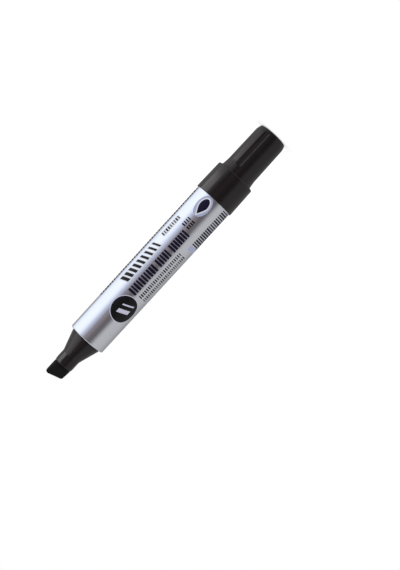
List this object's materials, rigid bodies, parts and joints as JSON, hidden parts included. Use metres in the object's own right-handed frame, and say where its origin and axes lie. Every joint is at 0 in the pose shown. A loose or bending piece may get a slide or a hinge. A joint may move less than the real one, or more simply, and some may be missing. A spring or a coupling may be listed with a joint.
{
  "type": "jumbo marker",
  "caption": "Jumbo marker with a slanted chisel nib, a round metal barrel and a pull-off cap posted on the rear, where its closed end is a flat foot.",
  "frame": {"origin": "centre of the cap's flat closed end, which the marker stands on", "axes": "+Z along the marker's axis towards the nib, +X towards the nib's long corner, -Y and +Y square to the broad sides of the chisel"},
  "size_m": [0.0238, 0.0238, 0.1741],
  "materials": {
    "barrel_aluminium": "smooth drawn aluminium under clear lacquer, satin, printed on the body",
    "black_plastic": "moulded black polypropylene, satin",
    "seal_rubber": "black nitrile rubber, matt",
    "nib_felt": "pressed felt soaked with black ink, matt",
    "reservoir_fibre": "bonded polyester fibre soaked with black ink",
    "clear_film": "thin clear polypropylene film",
    "liner_plastic": "natural white polyethylene"
  },
  "bodies": {
    "cap": {"cap_shell": "black_plastic", "inner_cap": "liner_plastic"},
    "pen": {"barrel": "barrel_aluminium", "nozzle": "black_plastic", "nozzle_seal": "seal_rubber", "ink_reservoir": "reservoir_fibre", "reservoir_film": "clear_film"},
    "nib": {"nib": "nib_felt"}
  },
  "joints": [
    {"name": "cap_slide", "type": "slide", "parent": "cap", "child": "pen", "axis": [0, 0, 1], "range_m": [0, 0.04]},
    {"name": "nib_pull", "type": "slide", "parent": "pen", "child": "nib", "axis": [0, 0, 1], "range_m": [0, 0.036]}
  ]
}
